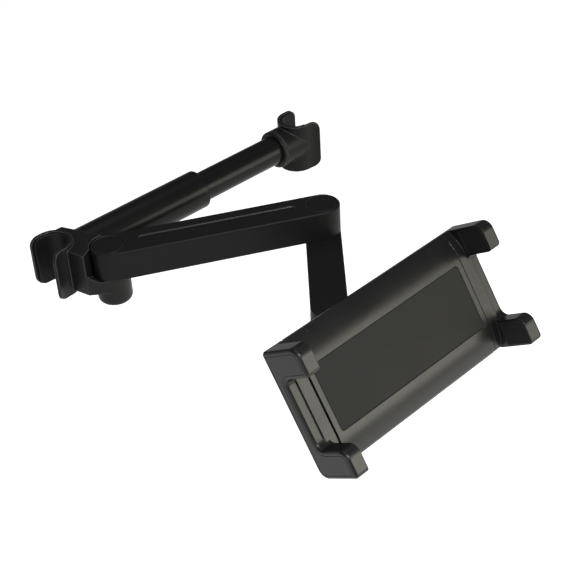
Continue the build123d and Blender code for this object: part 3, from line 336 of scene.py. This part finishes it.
# The liners' black is painted shade inside the hooks, and their pale rim grey is a painted highlight.
liner_shade_painted_black, liner_rim_highlight_grey = (0.004, 0.004, 0.004), (0.045, 0.045, 0.045)
pad_grey, pad_rim = (0.0175, 0.0175, 0.0169), (0.020, 0.020, 0.020)
soft_skin = {"grain_scale": 1800.0, "grain_depth": 0.00008}
pad_skin = {"grain_scale": 1500.0, "grain_depth": 0.00010}
rubber = satin_finish(
    "soft_rubber", rubber_black, rubber_rim, roughness=0.72, specular=0.12, **soft_skin
)
liner_rubber = satin_finish(
    "liner_rubber", liner_shade_painted_black, liner_rim_highlight_grey, roughness=0.50, specular=0.16, **soft_skin
)
pad_rubber = satin_finish("pad_rubber", pad_grey, pad_rim, roughness=0.62, specular=0.11, **pad_skin)
print("rubber finishes:", [m.name for m in (rubber, liner_rubber, pad_rubber)])

# %% [markdown]
# Bolts, springs and inserts are plain metal, and the washers and bushes a slippery dark plastic.
# Little of them shows, but a jaw or the bar that slides out bares some, so they are finished too.

# %% Metal and bearing finishes
# Each rim colour here is a painted highlight along the edges.
zinc_grey, zinc_rim = (0.52, 0.53, 0.55), (0.66, 0.66, 0.67)
wire_grey, wire_rim = (0.42, 0.42, 0.43), (0.55, 0.55, 0.55)
brass_yellow, brass_rim = (0.72, 0.50, 0.22), (0.85, 0.66, 0.36)
bearing_grey, bearing_rim = (0.055, 0.055, 0.057), (0.09, 0.09, 0.09)
metal = {"specular": 0.5, "grain_depth": 0.00002, "metallic": 1.0}
bearing_skin = {"grain_scale": 1700.0, "grain_depth": 0.00004}
zinc = satin_finish("zinc_plate", zinc_grey, zinc_rim, roughness=0.36, grain_scale=900.0, **metal)
wire = satin_finish("spring_wire", wire_grey, wire_rim, roughness=0.28, grain_scale=700.0, **metal)
brass = satin_finish(
    "turned_brass", brass_yellow, brass_rim, roughness=0.34, grain_scale=900.0, **metal
)
slippery = satin_finish(
    "bearing_plastic", bearing_grey, bearing_rim, roughness=0.45, specular=0.4, **bearing_skin
)
print("inner finishes:", [m.name for m in (zinc, wire, brass, slippery)])

# %% [markdown]
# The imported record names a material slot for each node, and each slot gets one of the finishes
# above. Only the left clamp, the arms and the cradle's mouldings have finishes of their own.

# %% Dress the nodes
finish_of_slot = {
    "black_moulding": moulding,
    "black_rubber": rubber,
    "pad_rubber": pad_rubber,
    "black_tube": tube_coat,
    "plated_steel": zinc,
    "spring_steel": wire,
    "insert_brass": brass,
    "bearing_plastic": slippery,
}
arm_pieces = ("arm1_body", "arm1_cover", "left_cap", "right_cap", "arm2_body")
cradle_shells = ("front_plate", "back_tray", "left_jaw", "right_jaw")
own_finish = {
    "left_clamp": clamp_skin,
    **dict.fromkeys(arm_pieces, arm_skin),
    **dict.fromkeys(cradle_shells, shell),
}
for entry in frame["record"]["subparts"]:
    solid = frame["nodes"][entry["node"]]
    finish = own_finish.get(entry["node"], finish_of_slot[entry["material_slot"]])
    for material_slot in solid.material_slots:
        material_slot.material = finish

# %% [markdown]
# ## Rubber pieces
# The parts that touch the posts and the tablet are soft, and their solids in the frame are plain.
# Each is modelled again here by hand, from a primitive, and takes the place of its solid. A few
# helpers serve all of them: one starts a piece with nothing else selected, one selects faces or
# edges in edit mode by a test, and one rounds the edges that are left and gives the finish.

# %% Modelling helpers
near = 1e-5
facing = 0.9
sharp_angle, smooth_angle = radians(40), radians(32)


def start_piece(name, add, **where):
    """Adds one primitive with nothing else selected, gives it its name and goes into edit mode."""
    bpy.ops.object.select_all(action="DESELECT")
    add(**where)
    piece = bpy.context.object
    piece.name = name
    bpy.ops.object.transform_apply(location=True, rotation=True, scale=True)
    bpy.ops.object.mode_set(mode="EDIT")
    return piece


def choose(piece, kind, test):
    """Selects the faces or edges of a piece that pass the test, and nothing else."""
    bpy.ops.mesh.select_mode(type=kind)
    bpy.ops.mesh.select_all(action="DESELECT")
    mesh = bmesh.from_edit_mesh(piece.data)
    mesh.normal_update()
    chosen = [item for item in (mesh.faces if kind == "FACE" else mesh.edges) if test(item)]
    for item in chosen:
        item.select_set(True)
    bmesh.update_edit_mesh(piece.data)
    return len(chosen)


def middle(edge):
    """Midpoint of an edge."""
    return (edge.verts[0].co + edge.verts[1].co) / 2


def finish_piece(piece, edge_round, material):
    """Leaves edit mode, rounds the sharp edges that are left, smooths the piece and dresses it."""
    bpy.ops.object.mode_set(mode="OBJECT")
    rounding = piece.modifiers.new("edge_round", "BEVEL")
    rounding.width = edge_round
    rounding.segments = 2
    rounding.limit_method = "ANGLE"
    rounding.angle_limit = sharp_angle
    bpy.ops.object.modifier_apply(modifier=rounding.name)
    bpy.ops.object.shade_smooth_by_angle(angle=smooth_angle)
    piece.data.materials.clear()
    piece.data.materials.append(material)


# %% [markdown]
# ### Hook liners
# A rubber strip lines each hook so that it grips the post without marking it. Its section is a
# narrow upright rectangle that runs round half the post and then straight along the far finger. A
# swept curve could follow that path, but spinning the section and pulling its end out straight is
# what the shape is. The first post stands at the origin, so the section spins about that.

# %% Hook liner
liner_low, liner_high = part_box("left_hook_liner")
liner_reach = -liner_low.x
liner_outer = liner_high.y
liner_points = [v.co for v in frame["nodes"]["left_hook_liner"].data.vertices]
liner_inner = min(Vector((p.x, p.y)).length for p in liner_points)
liner_height = liner_high.z - liner_low.z
liner_level = (liner_high.z + liner_low.z) / 2
section_middle = (0.0, -(liner_inner + liner_outer) / 2, liner_level)
spin_steps = 28

left_liner = start_piece(
    "left_liner_rubber",
    bpy.ops.mesh.primitive_plane_add,
    size=1.0,
    rotation=(0.0, pi / 2, 0.0),
    location=section_middle,
)
bpy.ops.transform.resize(
    value=(1.0, liner_outer - liner_inner, liner_height), center_override=section_middle
)
bpy.ops.mesh.spin(steps=spin_steps, angle=-pi, center=(0.0, 0.0, 0.0), axis=(0.0, 0.0, 1.0))
bpy.ops.mesh.extrude_region_move(TRANSFORM_OT_translate={"value": (-liner_reach, 0.0, 0.0)})
bpy.ops.mesh.select_all(action="SELECT")
bpy.ops.mesh.remove_doubles(threshold=near)
bpy.ops.mesh.normals_make_consistent(inside=False)
print("liner faces after spin:", len(bmesh.from_edit_mesh(left_liner.data).faces))

# %% [markdown]
# The finger's free end has two round corners, so the liner gets them too. Its inner faces are then
# inset with a shallow step, which leaves the raised rim that shows inside the hook.

# %% Liner corners and rim
liner_corner, liner_rim, rim_step, liner_edge_round = 0.0045, 0.0013, 0.0003, 0.0003
corner_segments = 6


def at_free_corner(edge):
    """True for the edges across the liner's thickness, above and below at its free end."""
    spot = middle(edge)
    at_end = spot.x < near - liner_reach
    at_top_or_bottom = abs(abs(spot.z - liner_level) - liner_height / 2) < near
    return at_end and at_top_or_bottom and abs(edge.verts[0].co.y - edge.verts[1].co.y) > near


def faces_post(face):
    """True for the faces of a liner that touch the post."""
    spot = face.calc_center_median()
    to_post = Vector((min(-spot.x, 0.0), -spot.y, 0.0)).normalized()
    return spot.x > near - liner_reach and face.normal.dot(to_post) > facing


corner_edges = choose(left_liner, "EDGE", at_free_corner)
bpy.ops.mesh.bevel(offset=liner_corner, segments=corner_segments, affect="EDGES")
inside = choose(left_liner, "FACE", faces_post)
bpy.ops.mesh.inset(thickness=liner_rim, depth=-rim_step)
finish_piece(left_liner, liner_edge_round, liner_rubber)
print("liner: corners", corner_edges, "inner faces", inside, "faces", len(left_liner.data.polygons))

# %% [markdown]
# The other hook opens the opposite way, so its liner is the mirror image: a copy with its own mesh,
# turned over across the bar and set on the second post. A negative scale turns a mesh inside out,
# so its normals are made consistent again.

# %% Second liner
_, slide_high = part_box("right_hook_liner")
bpy.ops.object.select_all(action="DESELECT")
right_liner = left_liner.copy()
right_liner.data = left_liner.data.copy()
right_liner.name = "right_liner_rubber"
bpy.context.collection.objects.link(right_liner)
bpy.context.view_layer.objects.active = right_liner
right_liner.select_set(True)
right_liner.scale.x = -1.0
right_liner.location.x = slide_high.x - liner_reach
bpy.ops.object.transform_apply(location=True, rotation=True, scale=True)
bpy.ops.object.mode_set(mode="EDIT")
bpy.ops.mesh.select_all(action="SELECT")
bpy.ops.mesh.normals_make_consistent(inside=False)
bpy.ops.object.mode_set(mode="OBJECT")
for liner, node, body in (
    (left_liner, "left_hook_liner", "base"),
    (right_liner, "right_hook_liner", "slider"),
):
    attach(liner, body)
    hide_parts(node)
print("liners:", left_liner.name, right_liner.name)

# %% [markdown]
# ### The cradle's own frame
# The cradle leans back, so its pieces are modelled flat, in its own directions, and then set in
# place by one matrix: across, up its face, and out of its face. The joints of the frame give all
# three, with the point that the cradle spins about as origin, so nothing is measured twice.

# %% Cradle frame
joints = {joint["name"]: joint for joint in frame["joints"]}
out_of_face = Vector(joints["cradle_spin"]["axis"])
across = Vector(joints["right_jaw_slide"]["axis"])
up_face = out_of_face.cross(across)
cradle_middle = Vector(joints["cradle_spin"]["pos_m"])
cradle_turn = Matrix((across, up_face, out_of_face)).transposed().to_4x4()
cradle = Matrix.Translation(cradle_middle) @ cradle_turn


def reach_in_cradle(node, wanted=lambda spot: True):
    """Lowest and highest place of a node's corners in the cradle's frame."""
    spots = [cradle.inverted() @ v.co for v in frame["nodes"][node].data.vertices]
    spots = [spot for spot in spots if wanted(spot)]
    lowest = Vector([min(spot[k] for spot in spots) for k in range(3)])
    highest = Vector([max(spot[k] for spot in spots) for k in range(3)])
    return lowest, highest


print("cradle at", tuple(round(c, 4) for c in cradle_middle))

# %% [markdown]
# ### Pad
# A flat rubber pad is let into the face of the plate, and the tablet's back rests on it. A plane
# with thickness would do from the front, but the pad has an edge that shows, so it starts as a cube
# of its size. The upright edges are rounded to fit the recess, and the front edge gets a small
# round lip, which catches the thin line of light round the pad.

# %% Pad
pad_low, pad_high = reach_in_cradle("plate_pad")
pad_size = pad_high - pad_low
pad_corner, pad_lip, pad_edge_round = 0.0018, 0.00035, 0.0002
lip_segments = 4
pad = start_piece("plate_pad_rubber", bpy.ops.mesh.primitive_cube_add, size=1.0)
bpy.ops.transform.resize(value=pad_size, center_override=(0.0, 0.0, 0.0))
choose(pad, "EDGE", lambda e: abs(e.verts[0].co.z - e.verts[1].co.z) > pad_size.z / 2)
bpy.ops.mesh.bevel(offset=pad_corner, segments=corner_segments, affect="EDGES")
choose(pad, "EDGE", lambda e: min(v.co.z for v in e.verts) > pad_size.z / 2 - near)
bpy.ops.mesh.bevel(offset=pad_lip, segments=lip_segments, affect="EDGES")
finish_piece(pad, pad_edge_round, pad_rubber)
pad.matrix_world = cradle @ Matrix.Translation((pad_low + pad_high) / 2)
bpy.ops.object.transform_apply(location=True, rotation=True, scale=True)
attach(pad, "cradle")
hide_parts("plate_pad")
print("pad:", tuple(round(c, 4) for c in pad_size), "faces", len(pad.data.polygons))

# %% [markdown]
# ### Grips in the claws
# A rubber grip is let into the inner face of each claw. It follows the claw's outline: a wide round
# at the upper corner, small ones elsewhere. One grip is modelled lying flat, from a block of its
# size whose corners are bevelled one after another. The face is then inset twice, which leaves a
# soft lip round a field that lies a little lower.

# %% One grip
grip_low, grip_high = reach_in_cradle("left_grips", lambda spot: spot.y > 0)
grip_size = grip_high - grip_low
claw_round, tip_round, foot_round, grip_segments = 0.0047, 0.0013, 0.0012, 5
lip_width, slope_width, field_drop, grip_edge_round = 0.0005, 0.0003, 0.0002, 0.00012
grip_corners = ((1, 1, claw_round), (-1, 1, tip_round), (1, -1, foot_round), (-1, -1, foot_round))
grip = start_piece("grip_pattern", bpy.ops.mesh.primitive_cube_add, size=1.0)
lying_flat = (grip_size.y, grip_size.z, grip_size.x)
bpy.ops.transform.resize(value=lying_flat, center_override=(0.0, 0.0, 0.0))
for corner_up, corner_out, corner_round in grip_corners:
    corner = Vector((corner_up * grip_size.y / 2, corner_out * grip_size.z / 2, 0.0))
    choose(grip, "EDGE", lambda e: (middle(e) - corner).length < near)
    bpy.ops.mesh.bevel(offset=corner_round, segments=grip_segments, affect="EDGES")
choose(grip, "FACE", lambda f: f.normal.z > facing)
bpy.ops.mesh.inset(thickness=lip_width)
bpy.ops.mesh.inset(thickness=slope_width, depth=-field_drop)
finish_piece(grip, grip_edge_round, rubber)
print("grip:", tuple(round(c, 4) for c in grip_size), "faces", len(grip.data.polygons))

# %% [markdown]
# The four grips are copies with their own meshes. The right jaw mirrors the left one, so its copies
# are turned over, and their normals are made consistent again after each pair is joined.

# %% Four grips
grip_middle = (grip_low + grip_high) / 2
lower_middle = sum(reach_in_cradle("left_grips", lambda spot: spot.y < 0), Vector()) / 2
for jaw, inward in (("left", 1), ("right", -1)):
    pair = []
    for claw_middle in (grip_middle, lower_middle):
        copy = grip.copy()
        copy.data = grip.data.copy()
        bpy.context.collection.objects.link(copy)
        turned = Matrix(((0, 0, inward), (1, 0, 0), (0, 1, 0))).to_4x4()
        spot = Vector((inward * claw_middle.x, claw_middle.y, claw_middle.z))
        copy.matrix_world = cradle @ Matrix.Translation(spot) @ turned
        pair.append(copy)
    bpy.ops.object.select_all(action="DESELECT")
    for copy in pair:
        copy.select_set(True)
    bpy.context.view_layer.objects.active = pair[0]
    bpy.ops.object.transform_apply(location=True, rotation=True, scale=True)
    bpy.ops.object.join()
    bpy.ops.object.mode_set(mode="EDIT")
    bpy.ops.mesh.select_all(action="SELECT")
    bpy.ops.mesh.normals_make_consistent(inside=False)
    bpy.ops.object.mode_set(mode="OBJECT")
    pair[0].name = jaw + "_grips_rubber"
    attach(pair[0], jaw + "_grip")
    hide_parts(jaw + "_grips")
bpy.data.objects.remove(grip)

# %% [markdown]
# ## Bar spring
# A coil spring in the sleeve pushes the thin tube out until the hooks press on the posts. A
# bevelled curve could draw it, but the Screw modifier winds a round wire section about the bar's
# axis, which is how a spring is wound. The two cut ends of the wire are then filled.

# %% Wind the spring
spring_low, spring_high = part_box("bar_spring")
spring_reach = spring_high - spring_low
wire_thickness, wire_sides, wire_edge_round = 0.0012, 10, 0.0001
spring_turns, steps_per_turn = 8, 24
coil_radius = (spring_reach.y - wire_thickness) / 2
spring = start_piece(
    "bar_spring_wire",
    bpy.ops.mesh.primitive_circle_add,
    vertices=wire_sides,
    radius=wire_thickness / 2,
    rotation=(pi / 2, 0.0, 0.0),
    location=(0.0, 0.0, coil_radius),
)
bpy.ops.object.mode_set(mode="OBJECT")
winding = spring.modifiers.new("winding", "SCREW")
winding.axis = "X"
winding.angle = 2 * pi
winding.screw_offset = (spring_reach.x - wire_thickness) / spring_turns
winding.iterations = spring_turns
winding.steps = steps_per_turn
winding.render_steps = steps_per_turn
bpy.ops.object.modifier_apply(modifier=winding.name)
bpy.ops.object.mode_set(mode="EDIT")
bpy.ops.mesh.select_all(action="SELECT")
bpy.ops.mesh.remove_doubles(threshold=near)
bpy.ops.mesh.fill_holes(sides=wire_sides)
bpy.ops.mesh.select_all(action="SELECT")
bpy.ops.mesh.normals_make_consistent(inside=False)
finish_piece(spring, wire_edge_round, wire)
print("spring: turns", spring_turns, "faces", len(spring.data.polygons))

# %% [markdown]
# A stiff coil would run into its stop when the bar closes; the real one shortens. Here the piece is
# set at its end in the sleeve, rides with the base and gets a mesh of its own.

# %% Set the spring in the sleeve
spring_middle = (spring_low + spring_high) / 2
spring.location = (spring_low.x + wire_thickness / 2, spring_middle.y, spring_middle.z)
bpy.ops.object.transform_apply(location=True, rotation=True, scale=True)
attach(spring, "base")
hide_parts("bar_spring")
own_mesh(spring)
